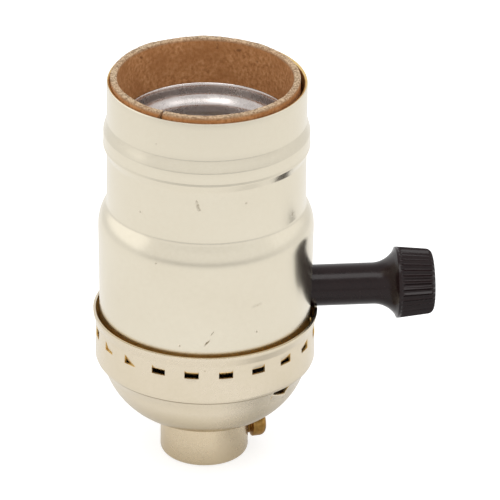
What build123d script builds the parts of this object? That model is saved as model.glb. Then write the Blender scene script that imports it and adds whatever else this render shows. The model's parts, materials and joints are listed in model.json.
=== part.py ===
from build123d import *
from math import asin, atan2, cos, degrees, pi, sin, sqrt
import os

os.makedirs("parts", exist_ok=True)

# Rotary knob lamp socket for a medium screw base lamp, in millimetres.
# The origin is the centre of the hub's bottom face. +Z runs up the lamp axis, +X along the knob.
# Heights are measured from the hub's bottom face and radii from the lamp axis.

# Drawn sheet of the outer shell and the cap
SHEET = 0.4
RIM_Z = 67.5
MOUTH_R = 16.3
BEAD_Z = 58.0
BEAD_R = 17.0
SHOULDER_TOP_Z = 46.45
SHOULDER_FOOT_Z = 42.8
BODY_R = 17.7
BODY_FOOT_R = 17.4
SNAP_BEAD_Z = 24.2
SNAP_BEAD_R = 17.56
SHELL_FOOT_Z = 22.4

# Cap: a dome whose section is one arc, a creased turn, a band with windows and a flared rim
DOME_CENTRE = (4.56, 19.56)
DOME_R = 12.61
CAP_FLOOR_Z = 7.4
DOME_END_Z = 15.8
CREASE = (17.72, 17.55)
BAND_FOOT = (18.08, 18.5)
BAND_TOP = (17.98, 24.7)
FLARE = (18.46, 26.05)
CAP_RIM = (18.47, 26.5)
WINDOW_COUNT = 20
WINDOW_WIDTH = 2.3
WINDOW_HEIGHT = 1.5
WINDOW_Z = 23.5
WINDOW_ANGLE = -84.4
LANCE_ANGLE = -49.3
LANCE_WIDTH = 3.6
LANCE_FOOT_Z = 15.3
LANCE_TOP_Z = 17.5

# Hub, staked into the cap, for a 1/8 inch lamp pipe
HUB_R = 7.27
HUB_BORE_R = 4.6
HUB_TOP_Z = 8.9
HUB_NECK_R = 6.6
STAKE_R = 7.6
HUB_EDGE_R = 1.0
BORE_CHAMFER = 0.3

# Set screw through the hub's wall
SET_SCREW_ANGLE = 9.0
SET_SCREW_Z = 3.6
SET_SCREW_R = 1.7
SET_SCREW_TIP_R = 4.65
SET_SCREW_HEAD_R = 2.3
SET_SCREW_HEAD_FROM = 7.9
SET_SCREW_HEAD_TO = 10.3
SCREW_CLEARANCE = 0.05

# Fibre board
LINER_INSIDE_R = 14.35
LINER_OUTSIDE_R = 15.45
LINER_SHIFT = -0.3
LINER_TOP_Z = 68.4
LINER_FOOT_Z = 22.4
SEAM_ANGLE = -124.0
SEAM_WIDTH = 0.4
DISH_THICKNESS = 0.6
DISH_GAP = 0.1
DISH_ANGLES = (-68.0, -22.5)

# Knob and shaft, on an axis along +X
KNOB_Z = 29.5
STEM_R = 3.43
STEM_FROM = 14.6
FLARE_FROM = 27.6
FLARE_END = (31.2, 5.25)
HEAD_FROM = 31.45
HEAD_R = 5.9
HEAD_END_R = 5.25
HEAD_SIDE_TO = 36.7
HEAD_EDGE_R = 4.4
HEAD_TO = 37.65
KNOB_END = 37.95
FLUTE_COUNT = 36
FLUTE_R = 0.32
FLUTE_DEPTH = 0.22
FLUTE_FROM = 32.0
STEM_CLEARANCE = 0.35
SHELL_SLOT = 8.4
LINER_SLOT = 9.4
SHAFT_R = 1.6
SHAFT_FROM = -9.3
SHAFT_TO = 30.0
SHAFT_FLAT = 1.1
RUNNING_GAP = 0.05

# Screw shell: a knuckle thread, whose cross-section is a circle set off the axis, and goes round as it climbs
PITCH = 3.629
THREAD_TURNS = 5.4
THREAD_SECTIONS = 32
THREAD_OFFSET = 0.55
THREAD_OUT_R = 13.1
SCREW_SHEET = 0.35
COLLAR_R = 13.75
SCREW_RIM_R = 13.95
SCREW_RIM_Z = 60.4
FLANGE_HOLE_R = 6.0

# Moulded switch body
HOUSING_R = 13.6
FLAT_Y = 10.4
BASE_FOOT_Z = 18.6
BASE_TOP_Z = 22.0
HOUSING_TOP_Z = 37.2
CAVITY_FROM_X = -6.5
CAVITY_TO_X = 8.0
CAVITY_Y = 4.9
CAVITY_TOP_Z = 34.9
BOSS_FLAT_X = 12.6

# Switch parts
RIVET_SPOTS = ((-6.8, 6.8), (6.8, -6.8))
RIVET_R = 1.2
RIVET_HEAD_R = 2.0
RIVET_HEAD = 0.5
TERMINAL_SHEET = 0.6
SHARP_BEND = 0.05
PAD_HALF = 3.5
PAD_HEIGHT = 8.0
TERMINAL_HEAD_R = 3.2
TERMINAL_HEAD = 1.7
TERMINAL_SCREW_R = 1.7
TERMINAL_SCREW_DEPTH = 4.4
STRAP_FROM_X = -9.2
STRAP_Y = 5.0
ROTOR_R = 3.8
ROTOR_FROM_X = -3.5
ROTOR_DRUM_TO_X = 3.5
ROTOR_TO_X = 7.0
ROTOR_BAND_R = 4.2
BAND_FROM_X = -0.6
BAND_TO_X = 3.0
DETENT_HALF = 3.2
DETENT_CORNER_R = 3.5
LEAF_GAP = 0.3
LEAF_SHEET = 0.3
LEAF_X = 1.2
LEAF_WIDTH = 3.2
SPRING_SHEET = 0.25
SPRING_FROM_X = 3.9
SPRING_TO_X = 6.6
SPRING_SEAT_Z = 25.2
CLIP_FROM_X = -4.2
CLIP_THICKNESS = 0.6
CLIP_R = 3.0
CLIP_GROOVE_R = 1.2

# Centre contact, which rocks on its stud as the lamp presses it
CONTACT_SHEET = 0.4
CONTACT_WIDTH = 4.4
CONTACT_PLAY = 0.2
CONTACT_FOOT = (-4.8, -1.7)
CONTACT_TOP_Z = 40.2
STUD_X = -3.25
STUD_R = 0.9
STUD_HOLE_R = 1.2
STUD_HEAD_R = 1.6
STUD_HEAD = 0.6

BASE = (Align.CENTER, Align.CENTER, Align.MIN)


def tube(outer, inner, low, high):
    """A ring about the lamp axis between two heights."""
    body = Cylinder(outer, high - low, align=BASE) - Cylinder(inner, high - low, align=BASE)
    return Pos(0, 0, low) * body


def disc(radius, low, high):
    """A round bar along the lamp axis between two heights."""
    return Pos(0, 0, low) * Cylinder(radius, high - low, align=BASE)


def bar(radius, start, end):
    """A round bar along +X between two distances from the lamp axis."""
    return Pos(start, 0, 0) * Rot(0, 90, 0) * Cylinder(radius, end - start, align=BASE)


def block(low, high):
    """A box between two corners."""
    size = [top - bottom for bottom, top in zip(low, high)]
    middle = [(top + bottom) / 2 for bottom, top in zip(low, high)]
    return Pos(*middle) * Box(*size)


def drawn_sheet(outside, thickness, side):
    """Sheet drawn to a round form: the line of one face, thickened and turned about the lamp axis."""
    wall = make_face(offset(outside, amount=thickness, side=side))
    return revolve(Plane.XZ * wall, Axis.Z)


def bent_strip(path, thickness, side, plane, width):
    """A strip bent along a path in a plane and as wide as given to both sides of it."""
    section = make_face(offset(path, amount=thickness, side=side))
    return extrude(plane * section, amount=width / 2, both=True)


def stem_slot(width):
    """Cutter for a slot round the knob's stem, round at its top and open at its foot."""
    near, far = LINER_INSIDE_R - 2, BODY_R + 2
    top = Pos(0, 0, KNOB_Z) * bar(width / 2, near, far)
    return top + block((near, -width / 2, SHELL_FOOT_Z - 2), (far, width / 2, KNOB_Z))


def slotted_screw(head_r, head, shank_r, shank, round_by):
    """A slotted cheese head screw along +X, with the head's underside at x = 0."""
    cap_end = fillet(bar(head_r, 0, head).edges().sort_by(Axis.X)[-1], round_by)
    slot = block((head * 0.55, -0.35, -head_r), (head + 1, 0.35, head_r))
    tip = chamfer(bar(shank_r, -shank, 0).edges().sort_by(Axis.X)[0], 0.4)
    return (cap_end - slot) + tip


def outer_shell():
    outside = FilletPolyline(
        (MOUTH_R, RIM_Z),
        (MOUTH_R, BEAD_Z + 2.9),
        (BEAD_R, BEAD_Z),
        (MOUTH_R, BEAD_Z - 2.1),
        (MOUTH_R, SHOULDER_TOP_Z),
        (BODY_R, SHOULDER_FOOT_Z),
        (BODY_FOOT_R, SNAP_BEAD_Z + 1.2),
        (SNAP_BEAD_R, SNAP_BEAD_Z),
        (BODY_FOOT_R - 0.6, SHELL_FOOT_Z),
        radius=[1.2, 1.5, 1.2, 4.0, 4.0, 1.0, 0.8],
    )
    return drawn_sheet(outside, SHEET, Side.RIGHT) - stem_slot(SHELL_SLOT)


def insulating_liner():
    """A rolled board tube with a butt seam, a little off centre in the mouth."""
    board = Pos(LINER_SHIFT, 0, 0) * tube(LINER_OUTSIDE_R, LINER_INSIDE_R, LINER_FOOT_Z, LINER_TOP_Z)
    cut = block((LINER_INSIDE_R - 2, -SEAM_WIDTH / 2, 0), (BODY_R, SEAM_WIDTH / 2, LINER_TOP_Z + 1))
    return board - Rot(0, 0, SEAM_ANGLE) * cut - stem_slot(LINER_SLOT)


def dome_arc(radius, start, end):
    """Part of the dome's section, as an arc about the dome's centre between two angles."""
    return CenterArc(DOME_CENTRE, radius, start, end - start)


def dome_radius_at(z):
    """Radius of the dome's outside at a height."""
    return DOME_CENTRE[0] + sqrt(DOME_R**2 - (z - DOME_CENTRE[1]) ** 2)


def dome_angle_at(z):
    """Angle of the dome's section at a height."""
    return degrees(asin((z - DOME_CENTRE[1]) / DOME_R))


def lance(angle):
    """A slot lanced on the crease and the tongue below it, bent inwards."""
    half = LANCE_WIDTH / 2
    foot_r = dome_radius_at(LANCE_FOOT_Z)
    cut = block((foot_r - 2, -half, LANCE_FOOT_Z), (CREASE[0] + 1, half, LANCE_TOP_Z))
    tongue_line = Line((foot_r, LANCE_FOOT_Z - 0.2), (foot_r - 0.9, LANCE_TOP_Z - 0.5))
    tongue = bent_strip(tongue_line, SHEET, Side.LEFT, Plane.XZ, LANCE_WIDTH)
    return Rot(0, 0, angle) * cut, Rot(0, 0, angle) * tongue


def cap():
    floor_r = dome_radius_at(CAP_FLOOR_Z)
    dome = dome_arc(DOME_R, dome_angle_at(CAP_FLOOR_Z), dome_angle_at(DOME_END_Z))
    outside = Wire(
        Line((HUB_NECK_R, CAP_FLOOR_Z), (floor_r, CAP_FLOOR_Z)).edges()
        + dome.edges()
        + Line(dome @ 1, CREASE).edges()
        + FilletPolyline(CREASE, BAND_FOOT, BAND_TOP, FLARE, CAP_RIM, radius=[0.8, 0.8, 0.5]).edges()
    )
    sheet = drawn_sheet(outside, SHEET, Side.LEFT)
    window = Pos(BAND_FOOT[0], 0, WINDOW_Z) * Box(3, WINDOW_WIDTH, WINDOW_HEIGHT)
    step = 360 / WINDOW_COUNT
    sheet -= [Rot(0, 0, WINDOW_ANGLE + step * i) * window for i in range(WINDOW_COUNT)]
    for angle in (LANCE_ANGLE, LANCE_ANGLE + 180):
        cut, tongue = lance(angle)
        sheet = sheet - cut + tongue
    return sheet - Pos(0, 0, KNOB_Z) * bar(STEM_R + STEM_CLEARANCE, BAND_TOP[0] - 2, CAP_RIM[0] + 2)


def cap_insulator():
    """A pressed fibre dish that lines the dome."""
    line = dome_arc(DOME_R - SHEET - DISH_GAP, DISH_ANGLES[0], DISH_ANGLES[1])
    return drawn_sheet(line, DISH_THICKNESS, Side.LEFT)


def threaded_hub():
    body = fillet(disc(HUB_R, 0, CAP_FLOOR_Z).edges().sort_by(Axis.Z)[0], HUB_EDGE_R)
    neck = disc(HUB_NECK_R, CAP_FLOOR_Z, CAP_FLOOR_Z + SHEET)
    stake = disc(STAKE_R, CAP_FLOOR_Z + SHEET, HUB_TOP_Z)
    stake = fillet(stake.edges().sort_by(Axis.Z)[-1], 0.6)
    hub = body + neck + stake - disc(HUB_BORE_R, -1, HUB_TOP_Z + 1)
    mouth_r = HUB_BORE_R + BORE_CHAMFER
    hub -= Cone(mouth_r, HUB_BORE_R, BORE_CHAMFER, align=BASE)
    hub -= Pos(0, 0, HUB_TOP_Z - BORE_CHAMFER) * Cone(HUB_BORE_R, mouth_r, BORE_CHAMFER, align=BASE)
    hole = bar(SET_SCREW_R + SCREW_CLEARANCE, 0, HUB_R + 1)
    return hub - Rot(0, 0, SET_SCREW_ANGLE) * Pos(0, 0, SET_SCREW_Z) * hole


def set_screw():
    head = SET_SCREW_HEAD_TO - SET_SCREW_HEAD_FROM
    shank = SET_SCREW_HEAD_FROM - SET_SCREW_TIP_R
    screw = slotted_screw(SET_SCREW_HEAD_R, head, SET_SCREW_R, shank, 1.1)
    return Rot(0, 0, SET_SCREW_ANGLE) * Pos(SET_SCREW_HEAD_FROM, 0, SET_SCREW_Z) * screw


def knob():
    """Stem, concave flare and fluted head, turned about the knob's axis."""
    rim_end = HEAD_FROM + 0.3
    outline = Wire(
        Polyline((STEM_FROM, 0), (STEM_FROM, STEM_R - 0.3), (STEM_FROM + 0.3, STEM_R), (FLARE_FROM, STEM_R)).edges()
        + TangentArc((FLARE_FROM, STEM_R), FLARE_END, tangent=(1, 0)).edges()
        + Polyline(FLARE_END, (HEAD_FROM, HEAD_R), (rim_end, HEAD_R), (HEAD_SIDE_TO, HEAD_END_R)).edges()
        + TangentArc((HEAD_SIDE_TO, HEAD_END_R), (HEAD_TO, HEAD_EDGE_R), tangent=(1, -0.1)).edges()
        + Polyline((HEAD_TO, HEAD_EDGE_R), (KNOB_END, 0), (STEM_FROM, 0)).edges()
    )
    body = revolve(Plane.XZ * make_face(outline), Axis.X)
    taper = degrees(atan2(HEAD_R - HEAD_END_R, HEAD_SIDE_TO - rim_end))
    flute = Pos(FLUTE_FROM, 0, HEAD_R + FLUTE_R - FLUTE_DEPTH) * Rot(0, taper, 0) * bar(FLUTE_R, 0, HEAD_R + 2)
    body -= [Rot(360 / FLUTE_COUNT * i, 0, 0) * flute for i in range(FLUTE_COUNT)]
    return Pos(0, 0, KNOB_Z) * body - switch_shaft()


def switch_shaft():
    """A round shaft with a flat that keys the rotor and the knob to it."""
    shaft = bar(SHAFT_R, SHAFT_FROM, SHAFT_TO)
    for start, end in ((ROTOR_FROM_X, ROTOR_TO_X), (STEM_FROM, SHAFT_TO)):
        shaft -= block((start, -SHAFT_R, SHAFT_FLAT), (end, SHAFT_R, SHAFT_R + 1))
    groove_to = CLIP_FROM_X + CLIP_THICKNESS + RUNNING_GAP
    groove = bar(SHAFT_R + 1, CLIP_FROM_X - RUNNING_GAP, groove_to) - bar(CLIP_GROOVE_R, -10, 10)
    return Pos(0, 0, KNOB_Z) * (shaft - groove)


def rotor_contact():
    """A stamped band: two pads a half turn apart and the plate that joins them across the drum."""
    pads = bar(ROTOR_BAND_R, BAND_FROM_X, BAND_TO_X) - bar(ROTOR_R, BAND_FROM_X, BAND_TO_X)
    pads &= block((BAND_FROM_X, -LEAF_WIDTH, -ROTOR_BAND_R), (BAND_TO_X, LEAF_WIDTH * 0.75, ROTOR_BAND_R))
    pads &= block((BAND_FROM_X, -LEAF_WIDTH * 0.75, -ROTOR_BAND_R), (BAND_TO_X, LEAF_WIDTH, ROTOR_BAND_R))
    plate_to = BAND_FROM_X + TERMINAL_SHEET
    plate = bar(ROTOR_BAND_R, BAND_FROM_X, plate_to) - bar(SHAFT_R + LEAF_GAP, BAND_FROM_X, plate_to)
    plate &= block((BAND_FROM_X, -LEAF_WIDTH * 0.75, -ROTOR_BAND_R), (plate_to, LEAF_WIDTH * 0.75, ROTOR_BAND_R))
    return Pos(0, 0, KNOB_Z) * (pads + plate)


def rotor():
    """A moulded drum with a square detent end, keyed to the shaft."""
    drum = bar(ROTOR_R, ROTOR_FROM_X, ROTOR_DRUM_TO_X)
    square = block((ROTOR_DRUM_TO_X, -DETENT_HALF, -DETENT_HALF), (ROTOR_TO_X, DETENT_HALF, DETENT_HALF))
    square &= bar(DETENT_CORNER_R, ROTOR_DRUM_TO_X, ROTOR_TO_X)
    return Pos(0, 0, KNOB_Z) * (drum + square) - switch_shaft() - rotor_contact()


def retaining_clip():
    """An open ring that snaps into the shaft's groove beside the rotor."""
    end = CLIP_FROM_X + CLIP_THICKNESS
    ring = bar(CLIP_R, CLIP_FROM_X, end) - bar(CLIP_GROOVE_R, CLIP_FROM_X, end)
    gap = block((CLIP_FROM_X, -CLIP_GROOVE_R, -CLIP_R), (end, CLIP_GROOVE_R, 0))
    return Pos(0, 0, KNOB_Z) * (ring - gap)


def shaft_bushing():
    barrel = bar(SHAFT_R + 1, CAVITY_TO_X, BOSS_FLAT_X) + bar(HOUSING_R - 9.8, BOSS_FLAT_X, HOUSING_R)
    return Pos(0, 0, KNOB_Z) * (barrel - bar(SHAFT_R + RUNNING_GAP, CAVITY_TO_X, HOUSING_R))


def thread_circles(radius, foot):
    """Circles whose centre goes once round the lamp axis for each pitch that they climb."""
    circles = []
    for k in range(THREAD_SECTIONS + 1):
        turns = THREAD_TURNS * k / THREAD_SECTIONS
        x = THREAD_OFFSET * cos(2 * pi * turns)
        y = THREAD_OFFSET * sin(2 * pi * turns)
        circles.append(Pos(x, y, foot + PITCH * turns) * Circle(radius))
    return circles


def rolled_thread(foot):
    """The threaded wall: lofted through the circles outside and inside, with a ring at each end."""
    outside = thread_circles(THREAD_OUT_R, foot)
    inside = thread_circles(THREAD_OUT_R - SCREW_SHEET, foot)
    walls = [loft(circles).faces().filter_by(GeomType.BSPLINE)[0] for circles in (outside, inside)]
    rings = [(outside[end] - inside[end]).faces()[0] for end in (0, -1)]
    return Solid(Shell(walls + rings))


def screw_shell():
    """A rolled sheet shell: riveted flange, knuckle thread, straight collar and turned rim."""
    thread_foot = HOUSING_TOP_Z + SCREW_SHEET
    collar_foot = thread_foot + PITCH * THREAD_TURNS
    ledge_r = THREAD_OUT_R - SCREW_SHEET - THREAD_OFFSET - 0.1
    flange = tube(COLLAR_R, FLANGE_HOLE_R, HOUSING_TOP_Z, thread_foot)
    flange -= rivet_holes(HOUSING_TOP_Z - 1, thread_foot + 1)
    ledge = tube(COLLAR_R, ledge_r, collar_foot, collar_foot + SCREW_SHEET)
    collar = tube(COLLAR_R, COLLAR_R - SCREW_SHEET, collar_foot, SCREW_RIM_Z)
    rim = tube(SCREW_RIM_R, COLLAR_R - SCREW_SHEET, SCREW_RIM_Z - SCREW_SHEET, SCREW_RIM_Z)
    return flange + rolled_thread(thread_foot) + ledge + collar + rim


def rivet_holes(low, high):
    return [Pos(x, y, 0) * disc(RIVET_R, low, high) for x, y in RIVET_SPOTS]


def moulding(low, high):
    """A round moulded block with a flat on each side for a terminal and one where the shaft leaves."""
    body = disc(HOUSING_R, low, high)
    body &= block((-HOUSING_R, -FLAT_Y, low), (BOSS_FLAT_X, FLAT_Y, high))
    return body - rivet_holes(low - 1, high + 1)


def switch_housing():
    body = moulding(BASE_TOP_Z, HOUSING_TOP_Z)
    body -= block((CAVITY_FROM_X, -CAVITY_Y, BASE_TOP_Z), (CAVITY_TO_X, CAVITY_Y, CAVITY_TOP_Z))
    journal = bar(SHAFT_R + RUNNING_GAP, SHAFT_FROM - 0.2, 0)
    body -= Pos(0, 0, KNOB_Z) * (journal + bar(SHAFT_R + 1, 0, HOUSING_R))
    screw_from = FLAT_Y - TERMINAL_SCREW_DEPTH
    for turn in (90, -90):
        body -= Pos(0, 0, KNOB_Z) * Rot(0, 0, turn) * bar(TERMINAL_SCREW_R, screw_from, HOUSING_R)
    body -= Pos(STUD_X, 0, 0) * disc(STUD_R, CAVITY_TOP_Z - 1, HOUSING_TOP_Z + 1)
    body -= block((STRAP_FROM_X, STRAP_Y, HOUSING_TOP_Z - TERMINAL_SHEET), (PAD_HALF, FLAT_Y, HOUSING_TOP_Z))
    leg_half = LEAF_WIDTH / 2 + 0.2
    leg_top = BASE_TOP_Z + TERMINAL_SHEET
    return body - block((LEAF_X - leg_half, -FLAT_Y, BASE_TOP_Z), (LEAF_X + leg_half, -CAVITY_Y, leg_top))


def switch_base():
    """The moulded cover below the housing, with two posts that seat the detent spring."""
    body = moulding(BASE_FOOT_Z, BASE_TOP_Z)
    for y in (-CAVITY_Y + 0.1, CAVITY_Y - 1.4):
        body += block((SPRING_FROM_X, y, BASE_TOP_Z), (SPRING_TO_X, y + 1.3, SPRING_SEAT_Z))
    return body - disc(FLANGE_HOLE_R, BASE_FOOT_Z, BASE_FOOT_Z + 0.8)


def shell_rivets():
    """Two rivets that hold the screw shell, the housing and the base together."""
    top = HOUSING_TOP_Z + SCREW_SHEET
    rivet = disc(RIVET_R, BASE_FOOT_Z, top)
    rivet += disc(RIVET_HEAD_R, top, top + RIVET_HEAD)
    rivet += disc(RIVET_HEAD_R, BASE_FOOT_Z - RIVET_HEAD, BASE_FOOT_Z)
    return [Pos(x, y, 0) * rivet for x, y in RIVET_SPOTS]


def hot_terminal():
    """One strip: the pad on the housing's flat, a leg under its wall and a leaf under the rotor."""
    leaf_z = KNOB_Z - ROTOR_BAND_R - LEAF_GAP
    leg_z = BASE_TOP_Z + TERMINAL_SHEET
    path = FilletPolyline(
        (-FLAT_Y, KNOB_Z + PAD_HEIGHT / 2),
        (-FLAT_Y, leg_z),
        (-3.4, leg_z),
        (-0.8, leaf_z),
        (2.0, leaf_z),
        radius=[SHARP_BEND, 0.8, 0.8],
    )
    strip = bent_strip(path, TERMINAL_SHEET, Side.RIGHT, Plane.YZ, 2 * PAD_HALF)
    half = LEAF_WIDTH / 2
    strip -= block((-PAD_HALF - 1, -FLAT_Y, BASE_TOP_Z - 1), (LEAF_X - half, FLAT_Y, KNOB_Z))
    strip -= block((LEAF_X + half, -FLAT_Y, BASE_TOP_Z - 1), (PAD_HALF + 1, FLAT_Y, KNOB_Z))
    return strip - Pos(0, 0, KNOB_Z) * Rot(0, 0, -90) * bar(TERMINAL_SCREW_R, 5, HOUSING_R)


def neutral_terminal():
    """One strip: the pad on the housing's other flat and a tab under the screw shell's flange."""
    tab_z = HOUSING_TOP_Z - TERMINAL_SHEET
    path = FilletPolyline(
        (FLAT_Y, KNOB_Z - PAD_HEIGHT / 2),
        (FLAT_Y, tab_z),
        (STRAP_Y, tab_z),
        radius=[SHARP_BEND],
    )
    strip = bent_strip(path, TERMINAL_SHEET, Side.RIGHT, Plane.YZ, 2 * PAD_HALF)
    tab = block((STRAP_FROM_X, STRAP_Y, tab_z), (-PAD_HALF, FLAT_Y, HOUSING_TOP_Z))
    strip += tab & disc(HOUSING_R, tab_z, HOUSING_TOP_Z)
    strip -= rivet_holes(tab_z - 1, HOUSING_TOP_Z + 1)
    return strip - Pos(0, 0, KNOB_Z) * Rot(0, 0, 90) * bar(TERMINAL_SCREW_R, 5, HOUSING_R)


def terminal_screw(turn):
    shank = TERMINAL_SHEET + TERMINAL_SCREW_DEPTH
    screw = slotted_screw(TERMINAL_HEAD_R, TERMINAL_HEAD, TERMINAL_SCREW_R, shank, 0.4)
    return Pos(0, 0, KNOB_Z) * Rot(0, 0, turn) * Pos(FLAT_Y + TERMINAL_SHEET, 0, 0) * screw


def centre_contact():
    """A brass strip: a flat foot on the stud and a tongue that rises to meet the lamp."""
    foot_z = HOUSING_TOP_Z + CONTACT_PLAY
    top_z = CONTACT_TOP_Z - CONTACT_SHEET
    path = FilletPolyline(
        (CONTACT_FOOT[0], foot_z),
        (CONTACT_FOOT[1], foot_z),
        (1.8, top_z),
        (3.6, top_z),
        (4.7, top_z - 1),
        radius=[0.8, 1.5, 0.7],
    )
    strip = bent_strip(path, CONTACT_SHEET, Side.LEFT, Plane.XZ, CONTACT_WIDTH)
    return strip - Pos(STUD_X, 0, 0) * disc(STUD_HOLE_R, foot_z - 1, foot_z + 1)


def centre_leaf():
    """The switch leaf over the rotor, held by the contact stud under the housing's top."""
    leaf_z = KNOB_Z + ROTOR_BAND_R + LEAF_GAP
    seat_z = CAVITY_TOP_Z - LEAF_SHEET
    path = FilletPolyline(
        (STUD_X - STUD_HEAD_R, seat_z),
        (STUD_X + STUD_HEAD_R + 0.2, seat_z),
        (BAND_FROM_X, leaf_z),
        (BAND_TO_X, leaf_z),
        radius=[0.4, 0.4],
    )
    strip = bent_strip(path, LEAF_SHEET, Side.LEFT, Plane.XZ, LEAF_WIDTH)
    return strip - Pos(STUD_X, 0, 0) * disc(STUD_R, seat_z - 1, CAVITY_TOP_Z + 1)


def contact_stud():
    leaf_z = CAVITY_TOP_Z - LEAF_SHEET
    head_z = HOUSING_TOP_Z + 2 * CONTACT_PLAY + CONTACT_SHEET
    stud = disc(STUD_R, leaf_z, head_z)
    stud += disc(STUD_HEAD_R, head_z, head_z + STUD_HEAD)
    stud += disc(STUD_HEAD_R, leaf_z - LEAF_SHEET, leaf_z)
    return Pos(STUD_X, 0, 0) * stud


def detent_spring():
    """A bowed leaf whose ends lie on the base's posts and whose middle meets the rotor's corners."""
    end = CAVITY_Y - 0.1
    foot = CAVITY_Y - 1.4
    bow_z = KNOB_Z - DETENT_CORNER_R - RUNNING_GAP - SPRING_SHEET
    path = Wire(
        Line((-end, SPRING_SEAT_Z), (-foot, SPRING_SEAT_Z)).edges()
        + ThreePointArc((-foot, SPRING_SEAT_Z), (0, bow_z), (foot, SPRING_SEAT_Z)).edges()
        + Line((foot, SPRING_SEAT_Z), (end, SPRING_SEAT_Z)).edges()
    )
    strip = bent_strip(path, SPRING_SHEET, Side.LEFT, Plane.YZ, SPRING_TO_X - SPRING_FROM_X)
    return Pos((SPRING_FROM_X + SPRING_TO_X) / 2, 0, 0) * strip


NODES = {
    "outer_shell": outer_shell(),
    "insulating_liner": insulating_liner(),
    "cap": cap(),
    "cap_insulator": cap_insulator(),
    "threaded_hub": threaded_hub(),
    "set_screw": set_screw(),
    "screw_shell": screw_shell(),
    "switch_housing": switch_housing(),
    "switch_base": switch_base(),
    "shell_rivets": shell_rivets(),
    "centre_contact": centre_contact(),
    "contact_stud": contact_stud(),
    "centre_leaf": centre_leaf(),
    "hot_terminal": hot_terminal(),
    "neutral_terminal": neutral_terminal(),
    "hot_terminal_screw": terminal_screw(-90),
    "neutral_terminal_screw": terminal_screw(90),
    "shaft_bushing": shaft_bushing(),
    "switch_shaft": switch_shaft(),
    "rotor": rotor(),
    "rotor_contact": rotor_contact(),
    "retaining_clip": retaining_clip(),
    "detent_spring": detent_spring(),
    "knob": knob(),
}

for name, shape in NODES.items():
    if isinstance(shape, list):
        shape = Compound(children=shape)
    export_step(shape, f"parts/{name}.step")
    print(name, round(shape.volume, 1))
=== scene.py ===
# %% [markdown]
# A lamp socket with a rotary knob: a drawn gilt shell with a board liner and a rolled aluminium screw
# shell inside it, snapped into a gilt cap with a threaded hub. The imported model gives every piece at
# its real size. This script replaces the pieces that the eye rests on with finer meshes of the same
# size, and gives every other piece its finish.

import json
from math import atan2, ceil, cos, degrees, hypot, pi, radians, sin, tan

import bmesh
import bpy
from mathutils import Matrix, Vector, noise


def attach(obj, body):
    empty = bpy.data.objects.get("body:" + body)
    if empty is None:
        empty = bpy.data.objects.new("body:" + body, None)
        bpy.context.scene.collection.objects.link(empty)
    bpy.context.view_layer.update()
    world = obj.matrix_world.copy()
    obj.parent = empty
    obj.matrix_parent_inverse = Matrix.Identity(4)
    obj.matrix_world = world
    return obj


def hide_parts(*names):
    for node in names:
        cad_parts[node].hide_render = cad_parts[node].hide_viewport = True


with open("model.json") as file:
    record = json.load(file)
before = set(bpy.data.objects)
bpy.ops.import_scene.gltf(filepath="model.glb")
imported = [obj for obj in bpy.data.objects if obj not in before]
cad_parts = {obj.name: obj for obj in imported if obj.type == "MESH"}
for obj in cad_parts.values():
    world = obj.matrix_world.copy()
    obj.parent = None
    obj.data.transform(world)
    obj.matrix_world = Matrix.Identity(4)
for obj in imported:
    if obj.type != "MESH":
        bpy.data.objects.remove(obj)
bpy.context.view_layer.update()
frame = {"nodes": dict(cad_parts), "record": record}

# %% [markdown]
# The camera comes first, because it decides what is worth modelling. The photo was taken with a long
# lens from 27 degrees above, so the rim and the cap show as shallow ellipses. The camera stands
# 1.1 m away and its aim is moved sideways, without turning, to put the socket left of the middle.

# %% Camera
CAMERA_TURN = radians(-6.0)
CAMERA_RISE = radians(27.0)
CAMERA_ROLL = radians(0.7)
CAMERA_DISTANCE = 1.1
CAMERA_LENS = 482.2
AIM_HEIGHT = 0.033
AIM_RIGHT = 0.00725
AIM_UP = 0.00339


def aim_camera():
    """A camera that looks along one direction, with its place moved within its own picture plane."""
    level = cos(CAMERA_RISE)
    back = Vector((sin(CAMERA_TURN) * level, -cos(CAMERA_TURN) * level, sin(CAMERA_RISE)))
    right = Vector((cos(CAMERA_TURN), sin(CAMERA_TURN), 0))
    up = back.cross(right)
    data = bpy.data.cameras.new("camera")
    data.lens = CAMERA_LENS
    data.clip_start = 0.05
    data.clip_end = 20
    camera = bpy.data.objects.new("camera", data)
    turned = Matrix((right, up, back)).transposed() @ Matrix.Rotation(CAMERA_ROLL, 3, "Z")
    place = Vector((0, 0, AIM_HEIGHT)) + right * AIM_RIGHT + up * AIM_UP + back * CAMERA_DISTANCE
    camera.matrix_world = Matrix.Translation(place) @ turned.to_4x4()
    bpy.context.scene.collection.objects.link(camera)
    bpy.context.scene.camera = camera
    return camera


camera = aim_camera()
bpy.context.scene.view_settings.view_transform = "Standard"
print("camera at", [round(v, 3) for v in camera.matrix_world.translation])
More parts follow.
